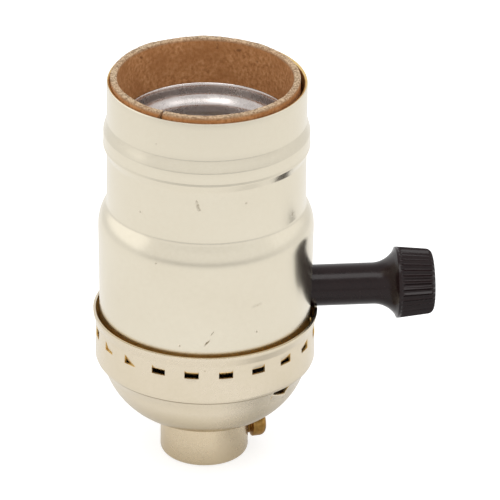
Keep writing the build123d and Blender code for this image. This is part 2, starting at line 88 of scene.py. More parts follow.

# %% [markdown]
# The light is a white tent with a large soft lamp at the left, a long one high in front and a weak
# one at the right. The floor and the world look white to the camera, through Light Path. The metal
# also has to show some contrast, as in any studio. So the white sheet under the socket ends about
# 20 cm away, the floor's glow in the metal is lowered in a spot right of the socket's foot as a painted
# shadow of the socket, and the tent is dimmer overhead. Each lamp then shows as a highlight: on the
# left and right of the shoulder and down in the screw shell.

# %% Light and floor
# Shares and strengths of light, distances in metres, lamp powers in watts.
WORLD_LIGHT = 0.86
TENT_TOP = 0.7
TENT_DIM_FROM = 0.4
TENT_DIM_TO = 0.75
FLOOR_BASE = 0.5
FLOOR_GLOW = 0.7
SHEET_GLOW = 0.445
SHEET_EDGE = (0.171, 0.211)
BESIDE_SHARE = 0.7
BESIDE_RANGE = (-0.95, -0.1)
# A painted shadow in the floor's glow, seen only in the metal: its centre in metres, the radii over which it
# fades, and the glow left at its middle.
SHADOW_SPOT = (0.024, -0.012, 0.0)
SHADOW_SPOT_EDGE = (0.006, 0.022)
SHADOW_SPOT_GLOW = 0.1
FLOOR_FAR = (0.55, 0.9)
KEY_PLACE = (-0.78, 0.42, 0.34)
KEY_SIZE = (1.8, 0.7)
KEY_POWER = 1.15
TOP_PLACE = (0.05, -0.28, 0.92)
TOP_SIZE = (1.1, 0.42)
TOP_POWER = 3.9
FILL_PLACE = (0.83, 0.12, 0.35)
FILL_SIZE = (1.0, 0.6)
FILL_POWER = 0.2
FLOOR_HALF = 3.0


def link_value(tree, operation, first, second):
    """A math node between two sockets or numbers."""
    made = tree.nodes.new("ShaderNodeMath")
    made.operation = operation
    for socket, given in zip(made.inputs, (first, second)):
        if isinstance(given, bpy.types.NodeSocket):
            tree.links.new(given, socket)
        else:
            socket.default_value = given
    return made.outputs[0]


def ranged(tree, value, low, high, to_low, to_high):
    """Maps a value from one range to another, clamped."""
    made = tree.nodes.new("ShaderNodeMapRange")
    for name, given in (("From Min", low), ("From Max", high), ("To Min", to_low), ("To Max", to_high)):
        made.inputs[name].default_value = given
    tree.links.new(value, made.inputs["Value"])
    return made.outputs["Result"]


def separated(tree, vector):
    """The X, Y and Z outputs of a vector."""
    made = tree.nodes.new("ShaderNodeSeparateXYZ")
    tree.links.new(vector, made.inputs[0])
    return made.outputs


def light_world():
    world = bpy.data.worlds.new("tent")
    world.use_nodes = True
    tree = world.node_tree
    shade = tree.nodes["Background"]
    shade.inputs["Color"].default_value = (1, 1, 1, 1)
    path = tree.nodes.new("ShaderNodeLightPath")
    way = separated(tree, tree.nodes.new("ShaderNodeTexCoord").outputs["Generated"])
    tent = ranged(tree, way["Z"], TENT_DIM_FROM, TENT_DIM_TO, 1.0, TENT_TOP)
    shiny = link_value(tree, "MAXIMUM", path.outputs["Is Glossy Ray"], path.outputs["Is Transmission Ray"])
    seen_in_metal = link_value(tree, "MULTIPLY", shiny, tent)
    seen = link_value(tree, "MAXIMUM", path.outputs["Is Camera Ray"], seen_in_metal)
    lit = link_value(tree, "MULTIPLY", path.outputs["Is Diffuse Ray"], WORLD_LIGHT)
    tree.links.new(link_value(tree, "MAXIMUM", seen, lit), shade.inputs["Strength"])
    bpy.context.scene.world = world


def soft_lamp(name, place, wide, high, power):
    """A rectangular soft lamp that looks at the socket."""
    data = bpy.data.lights.new(name, "AREA")
    data.shape = "RECTANGLE"
    data.size = wide
    data.size_y = high
    data.energy = power
    lamp = bpy.data.objects.new(name, data)
    lamp.location = place
    lamp.rotation_euler = (Vector(place) - Vector((0, 0, AIM_HEIGHT))).to_track_quat("Z", "Y").to_euler()
    bpy.context.scene.collection.objects.link(lamp)
    return lamp


def floor_paint():
    """White to the camera. In the metal: a white sheet with a painted shadow by the foot, a grey table, then
    white.
    """
    paint = bpy.data.materials.new("floor_white")
    paint.use_nodes = True
    tree = paint.node_tree
    shade = tree.nodes["Principled BSDF"]
    shade.inputs["Base Color"].default_value = (FLOOR_BASE, FLOOR_BASE, FLOOR_BASE, 1)
    shade.inputs["Roughness"].default_value = 0.9
    shade.inputs["Emission Color"].default_value = (1, 1, 1, 1)
    path = tree.nodes.new("ShaderNodeLightPath")
    length = tree.nodes.new("ShaderNodeVectorMath")
    length.operation = "LENGTH"
    place = tree.nodes.new("ShaderNodeTexCoord").outputs["Object"]
    tree.links.new(place, length.inputs[0])
    near = ranged(tree, length.outputs["Value"], *SHEET_EDGE, SHEET_GLOW, 0.0)
    far = ranged(tree, length.outputs["Value"], *FLOOR_FAR, 0.0, SHEET_GLOW)
    # Painted shadow: the glow seen in the metal drops in a spot right of the socket's foot.
    from_shadow_spot = tree.nodes.new("ShaderNodeVectorMath")
    from_shadow_spot.operation = "DISTANCE"
    tree.links.new(place, from_shadow_spot.inputs[0])
    from_shadow_spot.inputs[1].default_value = SHADOW_SPOT
    foot = ranged(tree, from_shadow_spot.outputs["Value"], *SHADOW_SPOT_EDGE, SHADOW_SPOT_GLOW, 1.0)
    near = link_value(tree, "MULTIPLY", near, foot)
    ahead = link_value(tree, "DIVIDE", separated(tree, place)["Y"], length.outputs["Value"])
    beside = ranged(tree, ahead, *BESIDE_RANGE, 0.0, SHEET_GLOW * BESIDE_SHARE)
    band = link_value(tree, "MAXIMUM", link_value(tree, "MAXIMUM", near, far), beside)
    shiny = link_value(tree, "MAXIMUM", path.outputs["Is Glossy Ray"], path.outputs["Is Transmission Ray"])
    in_metal = link_value(tree, "MULTIPLY", shiny, band)
    to_camera = link_value(tree, "MULTIPLY", path.outputs["Is Camera Ray"], FLOOR_GLOW)
    glow = link_value(tree, "MAXIMUM", in_metal, to_camera)
    tree.links.new(glow, shade.inputs["Emission Strength"])
    return paint


def lay_floor():
    bm = bmesh.new()
    bmesh.ops.create_grid(bm, x_segments=1, y_segments=1, size=FLOOR_HALF)
    mesh = bpy.data.meshes.new("floor")
    bm.to_mesh(mesh)
    bm.free()
    floor = bpy.data.objects.new("floor", mesh)
    bpy.context.scene.collection.objects.link(floor)
    mesh.materials.append(floor_paint())
    return floor


light_world()
key = soft_lamp("key", KEY_PLACE, *KEY_SIZE, KEY_POWER)
top = soft_lamp("top", TOP_PLACE, *TOP_SIZE, TOP_POWER)
fill = soft_lamp("fill", FILL_PLACE, *FILL_SIZE, FILL_POWER)
floor = lay_floor()
print("lamps", key.name, top.name, fill.name, "floor", floor.name)

# %% [markdown]
# Every mesh here is modelled in millimetres and brought to metres once, when it becomes a piece.
# A drawn or turned part is one outline spun about an axis, so two helpers carry most of the work:
# one rounds the corners of an outline, the other spins it.

# %% Outline and spin
MM = 0.001
ARC_STEP = radians(9)


def rounded(points):
    """An outline through (radius, height, bend) points, where each bend is the radius of that corner."""
    line = []
    for i, (r, z, bend) in enumerate(points):
        here = Vector((r, z))
        if bend == 0:
            line.append(here)
            continue
        back = (Vector(points[i - 1][:2]) - here).normalized()
        ahead = (Vector(points[(i + 1) % len(points)][:2]) - here).normalized()
        half = back.angle(ahead) / 2
        centre = here + (back + ahead).normalized() * bend / sin(half)
        start = here + back * bend / tan(half) - centre
        end = here + ahead * bend / tan(half) - centre
        turn = atan2(start.x * end.y - start.y * end.x, start.dot(end))
        steps = max(2, ceil(abs(turn) / ARC_STEP))
        line += [centre + Matrix.Rotation(turn * k / steps, 2) @ start for k in range(steps + 1)]
    return line


def divided(line, longest):
    """The same outline with its long runs cut into steps no longer than a length."""
    result = [line[0]]
    for a, b in zip(line, line[1:]):
        steps = max(1, ceil((b - a).length / longest))
        result += [a.lerp(b, k / steps) for k in range(1, steps + 1)]
    return result


def spun(line, steps, closed=False, start=0.0, sweep=2 * pi):
    """Spins an outline about the lamp axis. A part turn of a closed outline starts from a face."""
    bm = bmesh.new()
    verts = [bm.verts.new((r * cos(start), r * sin(start), z)) for r, z in line]
    pairs = list(zip(verts, verts[1:]))
    if closed:
        pairs.append((verts[-1], verts[0]))
    edges = [bm.edges.new(pair) for pair in pairs]
    whole = abs(sweep - 2 * pi) < 1e-6
    faces = [] if whole else [bm.faces.new(verts)]
    bmesh.ops.spin(
        bm, geom=verts + edges + faces, cent=(0, 0, 0), axis=(0, 0, 1), angle=sweep, steps=steps,
        use_merge=whole,
    )
    bmesh.ops.remove_doubles(bm, verts=bm.verts, dist=1e-4)
    bmesh.ops.recalc_face_normals(bm, faces=bm.faces)
    return bm


def polar(vertex):
    """A vertex's angle about the lamp axis and its radius."""
    return atan2(vertex.co.y, vertex.co.x), hypot(vertex.co.x, vertex.co.y)


print("arc step", round(degrees(ARC_STEP)), "degrees")

# %% [markdown]
# Holes and slots are cut with exact booleans on scratch objects, which are removed at once. A sheet
# gets its thickness with the solidify operator, and the cut edges a small bevel, because a punched
# edge catches a line of light that a sharp one never shows.

# %% Thickness, cuts and edges
def facing_out(face):
    """How far a face looks away from the lamp axis: 1 straight out, -1 straight in."""
    return face.normal.dot(Vector((*face.calc_center_median().xy, 0)).normalized())


def thickened(bm, thickness):
    """Gives a spun sheet its thickness, inwards from the face that was modelled."""
    bm.normal_update()
    if sum(facing_out(face) * face.calc_area() for face in bm.faces) < 0:
        bmesh.ops.reverse_faces(bm, faces=bm.faces)
    bmesh.ops.solidify(bm, geom=bm.faces[:], thickness=thickness)
    bmesh.ops.recalc_face_normals(bm, faces=bm.faces)
    return bm


def scratch(bm, name):
    mesh = bpy.data.meshes.new(name)
    bm.to_mesh(mesh)
    bm.free()
    obj = bpy.data.objects.new(name, mesh)
    bpy.context.scene.collection.objects.link(obj)
    return obj


def carved(bm, cutters):
    """Cuts closed meshes out of a closed mesh."""
    body = scratch(bm, "scratch_body")
    tools = [scratch(cutter, f"scratch_cutter_{i}") for i, cutter in enumerate(cutters)]
    for tool in tools:
        step = body.modifiers.new("cut", "BOOLEAN")
        step.operation = "DIFFERENCE"
        step.solver = "EXACT"
        step.object = tool
    result = bmesh.new()
    shown = body.evaluated_get(bpy.context.evaluated_depsgraph_get())
    mesh = bpy.data.meshes.new_from_object(shown)
    result.from_mesh(mesh)
    bpy.data.meshes.remove(mesh)
    for obj in [body] + tools:
        data = obj.data
        bpy.data.objects.remove(obj)
        bpy.data.meshes.remove(data)
    bmesh.ops.remove_doubles(result, verts=result.verts, dist=1e-4)
    return result


def softened(bm, offset, sharper_than=55.0):
    """Bevels every edge that turns more sharply than an angle."""
    limit = radians(sharper_than)
    edges = [e for e in bm.edges if len(e.link_faces) == 2 and e.calc_face_angle(0) > limit]
    bmesh.ops.bevel(
        bm, geom=edges, offset=offset, offset_type="OFFSET", affect="EDGES", segments=2, profile=0.5,
        material=-1, clamp_overlap=True,
    )
    return bm


BAR_SIDES = 48


def bar(radius, start, end):
    """A closed round bar along +X."""
    bm = bmesh.new()
    bmesh.ops.create_cone(
        bm, cap_ends=True, segments=BAR_SIDES, radius1=radius, radius2=radius, depth=end - start,
        matrix=Matrix.Translation(((start + end) / 2, 0, 0)) @ Matrix.Rotation(pi / 2, 4, "Y"),
    )
    return bm


def box(low, high):
    """A closed box between two corners."""
    low, high = Vector(low), Vector(high)
    matrix = Matrix.Translation((low + high) / 2) @ Matrix.Diagonal((*(high - low), 1))
    bm = bmesh.new()
    bmesh.ops.create_cube(bm, size=1, matrix=matrix)
    return bm


def moved(bm, place=(0, 0, 0), turn=0.0):
    """Turns a mesh about the lamp axis after moving it."""
    matrix = Matrix.Rotation(turn, 4, "Z") @ Matrix.Translation(place)
    bmesh.ops.transform(bm, matrix=matrix, verts=bm.verts)
    return bm


def along_x(bm, height):
    """Lays a part that was spun about the lamp axis along +X, at a height."""
    matrix = Matrix.Translation((0, 0, height)) @ Matrix.Rotation(pi / 2, 4, "Y")
    bmesh.ops.transform(bm, matrix=matrix, verts=bm.verts)
    return bm


def paint_inside(bm, rim_from):
    """Gives the faces that look inwards the second finish, and leaves the edge of a rim its first."""
    bm.normal_update()
    for face in bm.faces:
        turned_in = -0.5 if face.calc_center_median().z > rim_from else 0.15
        face.material_index = 1 if facing_out(face) < turned_in else 0


def piece(bm, name, body, material, replaced, smooth_to=38.0, inside=None, rim_from=float("inf")):
    """Makes a finished object of a mesh in millimetres, and says what it rides on and stands for."""
    if inside:
        paint_inside(bm, rim_from)
    bmesh.ops.scale(bm, vec=(MM, MM, MM), verts=bm.verts)
    mesh = bpy.data.meshes.new(name)
    bm.to_mesh(mesh)
    bm.free()
    mesh.materials.append(material)
    if inside:
        mesh.materials.append(inside)
    mesh.shade_smooth()
    mesh.set_sharp_from_angle(angle=radians(smooth_to))
    obj = bpy.data.objects.new(name, mesh)
    bpy.context.scene.collection.objects.link(obj)
    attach(obj, body)
    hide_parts(replaced)
    print(name, "faces", len(mesh.polygons), "size mm", [round(v / MM, 1) for v in obj.dimensions])
    return obj


# %% [markdown]
# Finishes. Real surfaces are never one value: rolled sheet has faint lines along the way it was
# drawn, lacquer is a little uneven, and edges wear. Two effects serve several materials, so each is
# a node group built once: a soft mottle that shifts a colour, and fine lines that run one way.

# %% Shared effects
def new_group(name, inputs, outputs):
    """An empty shader group with named sockets, and its input and output nodes."""
    group = bpy.data.node_groups.new(name, "ShaderNodeTree")
    for label, kind, value in inputs:
        socket = group.interface.new_socket(name=label, in_out="INPUT", socket_type=kind)
        if value is not None:
            socket.default_value = value
    for label, kind in outputs:
        group.interface.new_socket(name=label, in_out="OUTPUT", socket_type=kind)
    return group, group.nodes.new("NodeGroupInput"), group.nodes.new("NodeGroupOutput")


def mottle_group():
    """Large soft cloud plus small grain, as one mask around 0.5."""
    group, given, result = new_group(
        "mottle",
        [("Vector", "NodeSocketVector", None), ("Cloud Scale", "NodeSocketFloat", 120.0),
         ("Grain Scale", "NodeSocketFloat", 900.0), ("Grain Share", "NodeSocketFloat", 0.4)],
        [("Mask", "NodeSocketFloat")],
    )
    cloud = group.nodes.new("ShaderNodeTexNoise")
    cloud.inputs["Detail"].default_value = 3.0
    grain = group.nodes.new("ShaderNodeTexNoise")
    grain.inputs["Detail"].default_value = 2.0
    mix = group.nodes.new("ShaderNodeMix")
    group.links.new(given.outputs["Vector"], cloud.inputs["Vector"])
    group.links.new(given.outputs["Vector"], grain.inputs["Vector"])
    group.links.new(given.outputs["Cloud Scale"], cloud.inputs["Scale"])
    group.links.new(given.outputs["Grain Scale"], grain.inputs["Scale"])
    group.links.new(given.outputs["Grain Share"], mix.inputs["Factor"])
    group.links.new(cloud.outputs["Fac"], mix.inputs["A"])
    group.links.new(grain.outputs["Fac"], mix.inputs["B"])
    group.links.new(mix.outputs["Result"], result.inputs["Mask"])
    return group


def lines_group():
    """Fine lines round the lamp axis: noise stretched along the way the sheet was worked."""
    group, given, result = new_group(
        "fine_lines",
        [("Vector", "NodeSocketVector", None), ("Across", "NodeSocketFloat", 2500.0),
         ("Along", "NodeSocketFloat", 30.0)],
        [("Mask", "NodeSocketFloat")],
    )
    place = separated(group, given.outputs["Vector"])
    angle = link_value(group, "ARCTAN2", place["Y"], place["X"])
    join = group.nodes.new("ShaderNodeCombineXYZ")
    group.links.new(link_value(group, "MULTIPLY", angle, given.outputs["Along"]), join.inputs["X"])
    group.links.new(link_value(group, "MULTIPLY", place["Z"], given.outputs["Across"]), join.inputs["Y"])
    lines = group.nodes.new("ShaderNodeTexNoise")
    lines.inputs["Scale"].default_value = 1.0
    lines.inputs["Detail"].default_value = 2.0
    group.links.new(join.outputs[0], lines.inputs["Vector"])
    group.links.new(lines.outputs["Fac"], result.inputs["Mask"])
    return group


MOTTLE = mottle_group()
FINE_LINES = lines_group()
print("groups", MOTTLE.name, FINE_LINES.name)

# %% [markdown]
# A small recipe book of node steps keeps each material short: colours are given as they look on
# screen, 0 to 255, and turned into the linear values that a shader works in.

# %% Material helpers
def linear(red, green, blue):
    """A screen colour, 0 to 255, as a linear shader colour."""
    def channel(value):
        value /= 255
        return value / 12.92 if value <= 0.04045 else ((value + 0.055) / 1.055) ** 2.4
    return (channel(red), channel(green), channel(blue), 1.0)


class Finish:
    """A material with one Principled shader, and short ways to add nodes to it."""

    def __init__(self, name, roughness, metallic=0.0):
        self.material = bpy.data.materials.new(name)
        self.material.use_nodes = True
        self.tree = self.material.node_tree
        self.shader = self.tree.nodes["Principled BSDF"]
        self.shader.inputs["Roughness"].default_value = roughness
        self.shader.inputs["Metallic"].default_value = metallic
        self.place = self.tree.nodes.new("ShaderNodeTexCoord").outputs["Object"]
        self.height = None

    def node(self, kind, **values):
        made = self.tree.nodes.new(kind)
        for name, value in values.items():
            setattr(made, name, value)
        return made

    def link(self, start, end):
        self.tree.links.new(start, end)

    def group(self, tree, **values):
        made = self.node("ShaderNodeGroup", node_tree=tree)
        self.link(self.place, made.inputs["Vector"])
        for name, value in values.items():
            made.inputs[name.replace("_", " ")].default_value = value
        return made.outputs["Mask"]

    def noise(self, scale, detail=2.0, vector=None):
        made = self.node("ShaderNodeTexNoise")
        made.inputs["Scale"].default_value = scale
        made.inputs["Detail"].default_value = detail
        self.link(vector or self.place, made.inputs["Vector"])
        return made.outputs["Fac"]

    def ramp(self, value, stops):
        """Maps a value through (place, colour) stops."""
        made = self.node("ShaderNodeValToRGB")
        points = made.color_ramp.elements
        while len(points) < len(stops):
            points.new(1.0)
        for point, (place, colour) in zip(points, stops):
            point.position = place
            point.color = colour
        self.link(value, made.inputs["Fac"])
        return made.outputs["Color"]

    def spread(self, value, low, high, from_low=0.0, from_high=1.0):
        return ranged(self.tree, value, from_low, from_high, low, high)

    def blend(self, factor, first, second):
        """Mixes two colours, each a socket or a colour value."""
        made = self.node("ShaderNodeMix", data_type="RGBA")
        sockets = {s.identifier: s for s in made.inputs}
        for label, given in (("Factor_Float", factor), ("A_Color", first), ("B_Color", second)):
            if isinstance(given, bpy.types.NodeSocket):
                self.link(given, sockets[label])
            else:
                sockets[label].default_value = given
        return next(s for s in made.outputs if s.identifier == "Result_Color")

    def mottled(self, mask, first, second, low=0.3, high=0.7):
        """Two screen colours mixed by a mask."""
        return self.blend(self.spread(mask, 0.0, 1.0, low, high), linear(*first), linear(*second))

    def maths(self, operation, first, second):
        return link_value(self.tree, operation, first, second)

    def colour(self, socket):
        self.link(socket, self.shader.inputs["Base Color"])

    def roughness(self, socket):
        self.link(socket, self.shader.inputs["Roughness"])

    def bump(self, height, distance):
        """Adds a bump layer over the ones before it, with its height in metres."""
        made = self.node("ShaderNodeBump")
        made.inputs["Strength"].default_value = 1.0
        made.inputs["Distance"].default_value = distance
        self.link(height, made.inputs["Height"])
        if self.height is not None:
            self.link(self.height, made.inputs["Normal"])
        self.height = made.outputs["Normal"]
        self.link(self.height, self.shader.inputs["Normal"])


print("warm white", [round(v, 3) for v in linear(227, 218, 198)])

# %% [markdown]
# The shell and the cap are thin sheet with a pale gilt finish under clear lacquer. It reads as warm
# white because the tent is white all round. Its life comes from small things: faint lines from
# drawing, a little unevenness in the gloss, and a few scuffs and pinpricks from handling. Each scuff
# is a small soft ellipse in angle and height on the sheet, as turned and long as the real one. The
# cap, the hub and the shell just above the cap's rim are painted darker and warmer towards their feet,
# as painted shade with warm reflected light. The cap has a painted line of shade along its crease,
# and the shell's foot, which the lacquer misses, is dull.

# %% Gilt sheet
SCUFFS = (
    # angle in degrees, height in mm, half width in mm, half height in mm, lean in degrees, strength
    (-100.4, 53.0, 0.34, 1.15, 12.0, 0.55),
    (-136.3, 49.8, 0.22, 0.22, 0.0, 0.75),
    (-122.7, 42.2, 0.20, 0.20, 0.0, 0.7),
    (-94.3, 28.7, 0.16, 0.95, -38.0, 0.9),
    (-91.6, 30.4, 0.10, 0.55, -34.0, 0.6),
    (-99.2, 52.3, 0.22, 0.32, 20.0, 0.5),
    (-36.6, 47.6, 0.30, 0.40, -20.0, 0.75),
    (-72.3, 52.9, 0.30, 0.25, 0.0, 0.3),
    (-109.2, 27.8, 0.18, 0.18, 0.0, 0.55),
    (-66.8, 29.7, 0.20, 0.22, 0.0, 0.6),
    (-67.0, 34.6, 1.1, 0.35, 10.0, 0.22),
    (-95.4, 23.8, 0.16, 0.16, 0.0, 0.55),
    (-125.4, 62.9, 0.15, 0.15, 0.0, 0.4),
)
SHEET_RADIUS = 17.0
SCUFF_TONE = (112, 96, 62)
# A painted line of shade along the cap's crease: its tone, and the distances from the crease in mm over
# which it fades.
CREASE_SHADE_TONE = (96, 82, 52)
CREASE_LINE = (0.06, 0.3)
DULL_TONE = (176, 138, 82)
DULL_METALLIC = 0.35


def scuff_mask(finish, angle, height):
    """Adds up the scuffs as a mask, from the surface's angle and height in millimetres."""
    total = None
    for turn, level, half_width, half_height, lean, strength in SCUFFS:
        across = finish.maths("MULTIPLY", finish.maths("SUBTRACT", angle, radians(turn)), SHEET_RADIUS)
        up = finish.maths("SUBTRACT", height, level)
        c, s = cos(radians(lean)), sin(radians(lean))
        first = finish.maths("ADD", finish.maths("MULTIPLY", across, c), finish.maths("MULTIPLY", up, s))
        second = finish.maths(
            "SUBTRACT", finish.maths("MULTIPLY", up, c), finish.maths("MULTIPLY", across, s)
        )
        first = finish.maths("POWER", finish.maths("DIVIDE", first, half_width), 2.0)
        second = finish.maths("POWER", finish.maths("DIVIDE", second, half_height), 2.0)
        spot = finish.spread(finish.maths("ADD", first, second), strength, 0.0, 0.15, 1.0)
        total = spot if total is None else finish.maths("MAXIMUM", total, spot)
    return total


def gilt(name, tones, roughness, painted_shade_tone, painted_shade_share, painted_shade_heights, scuffed, crease=None, dull_foot=None):
    """Pale gilt under lacquer, with painted shade towards the foot, a painted shade line in a crease and a
    dull foot if given.
    """
    finish = Finish(name, roughness, metallic=1.0)
    cloud = finish.group(MOTTLE, Cloud_Scale=70.0, Grain_Scale=1400.0, Grain_Share=0.35)
    lines = finish.group(FINE_LINES, Across=2600.0, Along=9.0)
    shade = finish.mottled(cloud, *tones)
    gloss = finish.spread(cloud, roughness - 0.02, roughness + 0.04, 0.3, 0.7)
    axes = separated(finish.tree, finish.place)
    height = finish.maths("MULTIPLY", axes["Z"], 1 / MM)
    # Painted shade: the colour turns to a darker, warmer tone below the given heights, standing in for shade
    # and warm reflections near the foot.
    painted_shade = finish.spread(height, painted_shade_share, 0.0, *painted_shade_heights)
    shade = finish.blend(painted_shade, shade, linear(*painted_shade_tone))
    if dull_foot:
        shade = finish.blend(finish.spread(height, 1.0, 0.0, *dull_foot), shade, linear(*DULL_TONE))
        finish.link(finish.spread(height, DULL_METALLIC, 1.0, *dull_foot), finish.shader.inputs["Metallic"])
    # Painted shade: a dark line along the crease, where the lip above shades the sheet.
    if crease:
        off_line = finish.maths("ABSOLUTE", finish.maths("SUBTRACT", height, crease), 0.0)
        shade = finish.blend(finish.spread(off_line, 0.6, 0.0, *CREASE_LINE), shade, linear(*CREASE_SHADE_TONE))
    if scuffed:
        angle = finish.maths("ARCTAN2", axes["Y"], axes["X"])
        marks = scuff_mask(finish, angle, height)
        marks = finish.maths("MULTIPLY", marks, finish.spread(finish.noise(2600.0), 0.3, 1.0, 0.4, 0.6))
        shade = finish.blend(marks, shade, linear(*SCUFF_TONE))
        gloss = finish.maths("ADD", gloss, finish.maths("MULTIPLY", marks, 0.3))
        finish.bump(marks, -0.00008)
    finish.colour(shade)
    finish.roughness(gloss)
    finish.bump(lines, 0.0000008)
    finish.bump(finish.noise(160.0, 1.0), 0.000008)
    return finish.material


def raw_inside():
    """The unlacquered inner face of the sheet: a deeper, duller brass."""
    finish = Finish("gilt_inside", 0.4, metallic=0.92)
    cloud = finish.group(MOTTLE, Cloud_Scale=200.0, Grain_Scale=1800.0, Grain_Share=0.5)
    finish.colour(finish.mottled(cloud, (222, 188, 120), (240, 212, 150)))
    finish.roughness(finish.spread(cloud, 0.34, 0.5, 0.3, 0.7))
    return finish.material


SHELL_TONES = ((219, 210, 190), (225, 217, 198))
CAP_TONES = ((215, 203, 179), (223, 211, 190))
HUB_TONES = ((212, 195, 166), (220, 204, 176))
# The third to fifth values of each gilt are its painted shade: a darker tone, its share below the first
# height, and the heights over which it fades out.
gilt_sheet = gilt(
    "gilt_sheet", SHELL_TONES, 0.22, (206, 172, 106), 0.35, (25.9, 27.1), scuffed=True,
    dull_foot=(24.0, 24.8),
)
gilt_cap = gilt(
    "gilt_cap", CAP_TONES, 0.25, (168, 145, 92), 0.88, (7.4, 14.7), scuffed=True, crease=17.5
)
gilt_hub = gilt("gilt_hub", HUB_TONES, 0.26, (166, 146, 110), 0.3, (0.3, 4.0), scuffed=False)
gilt_inside = raw_inside()
print("scuffs", len(SCUFFS))

# %% [markdown]
# The liner and the dish in the cap are rolled fibre board: brown, matt and flecked with paler and
# darker fibres, with a few dark specks of bark. Where the tube is cut, the layers show as a paler,
# rougher edge, so the board has an edge tone that comes in near the top, by height.

# %% Fibre board
BOARD_EDGE_FROM = 67.7
BOARD_EDGE_TO = 68.35


def fibre_board():
    finish = Finish("fibre_board", 0.86)
    fibre = finish.node("ShaderNodeMapping")
    fibre.inputs["Scale"].default_value = (1.0, 1.0, 0.8)
    finish.link(finish.place, fibre.inputs["Vector"])
    fleck = finish.noise(2000.0, 4.0, fibre.outputs[0])
    cloud = finish.noise(220.0, 3.0)
    base = finish.ramp(
        fleck, [(0.28, linear(156, 105, 63)), (0.5, linear(187, 132, 84)), (0.72, linear(206, 155, 108))]
    )
    base = finish.blend(finish.spread(cloud, 0.0, 0.65, 0.42, 0.62), base, linear(168, 114, 68))
    specks = finish.spread(finish.noise(520.0, 2.0), 0.0, 0.6, 0.7, 0.76)
    base = finish.blend(specks, base, linear(104, 66, 36))
    height = separated(finish.tree, finish.place)["Z"]
    near_top = finish.spread(height, 0.0, 1.0, BOARD_EDGE_FROM * MM, BOARD_EDGE_TO * MM)
    layers = finish.noise(3200.0, 3.0)
    edge = finish.ramp(layers, [(0.35, linear(126, 103, 80)), (0.6, linear(198, 174, 144))])
    finish.colour(finish.blend(near_top, base, edge))
    finish.bump(fleck, 0.00006)
    finish.bump(layers, 0.00004)
    finish.shader.inputs["Specular IOR Level"].default_value = 0.25
    return finish.material


board = fibre_board()
print("board", board.name)

# %% [markdown]
# The remaining finishes: bright rolled aluminium, dark glossy moulding for the knob, a duller
# moulding for the switch body, a pale one for the rotor, stamped brass, plated strip and steel. The
# metals share one recipe and the mouldings another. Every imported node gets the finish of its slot.

# %% Metals and mouldings
def worked_metal(name, first, second, roughness, line_depth=0.000002, spots=0.0, metallic=1.0):
    """A bare metal with fine worked lines, soft tone changes and, if asked, darker tarnish spots."""
    finish = Finish(name, roughness, metallic)
    cloud = finish.group(MOTTLE, Cloud_Scale=260.0, Grain_Scale=2400.0, Grain_Share=0.4)
    lines = finish.group(FINE_LINES, Across=5200.0, Along=14.0)
    shade = finish.mottled(cloud, first, second)
    if spots:
        dark = finish.spread(finish.noise(700.0, 3.0), 0.0, spots, 0.5, 0.7)
        shade = finish.blend(dark, shade, linear(70, 50, 24))
    finish.colour(shade)
    finish.roughness(finish.spread(cloud, roughness - 0.05, roughness + 0.08, 0.3, 0.7))
    finish.bump(lines, line_depth)
    return finish.material


def moulding(name, first, second, roughness, grain, shine=0.5):
    """A moulded resin: two close tones, an uneven gloss and a faint grain."""
    finish = Finish(name, roughness)
    cloud = finish.group(MOTTLE, Cloud_Scale=330.0, Grain_Scale=2600.0, Grain_Share=0.5)
    finish.colour(finish.mottled(cloud, first, second, 0.35, 0.65))
    finish.roughness(finish.spread(cloud, roughness - 0.05, roughness + 0.07, 0.3, 0.7))
    finish.bump(finish.noise(2200.0, 2.0), grain)
    finish.shader.inputs["Specular IOR Level"].default_value = shine
    return finish.material


SLOT_FINISH = {
    "gilt_sheet": gilt_sheet,
    "gilt_hub": gilt_hub,
    "fibre_board": board,
    "shell_aluminium": worked_metal("shell_aluminium", (196, 188, 184), (224, 218, 215), 0.27, metallic=0.9),
    "moulded_body": moulding("moulded_body", (46, 38, 34), (60, 50, 44), 0.45, 0.00002),
    "rotor_plastic": moulding("rotor_plastic", (170, 152, 124), (190, 172, 144), 0.5, 0.00002),
    "knob_plastic": moulding("knob_plastic", (26, 14, 15), (33, 20, 20), 0.21, 0.000006, 0.25),
    "contact_brass": worked_metal("contact_brass", (196, 160, 92), (214, 182, 116), 0.28),
    "screw_brass": worked_metal("screw_brass", (150, 112, 54), (186, 148, 88), 0.36, spots=0.6),
    "plated_strip": worked_metal("plated_strip", (190, 188, 182), (208, 206, 200), 0.3),
    "plated_screw": worked_metal("plated_screw", (188, 188, 186), (212, 212, 210), 0.25),
    "rivet_metal": worked_metal("rivet_metal", (180, 180, 182), (204, 204, 206), 0.34),
    "shaft_steel": worked_metal("shaft_steel", (160, 160, 162), (190, 190, 192), 0.3),
}
for part in frame["record"]["subparts"]:
    node = frame["nodes"][part["node"]]
    node.data.materials.clear()
    node.data.materials.append(SLOT_FINISH[part["material_slot"]])
print("finishes", len(SLOT_FINISH))

# %% [markdown]
# The outer shell is one sheet drawn to shape, so it is one outline spun: a straight mouth, a rolled
# bead that a shade ring stops on, a step out at the shoulder, and a snap bead at the foot. The slot
# for the knob's stem is open at the foot, so that the shell can be lifted off over the knob.

# %% Outer shell
SHEET = 0.4
SHELL_STEPS = 240
KNOB_HEIGHT = 29.5


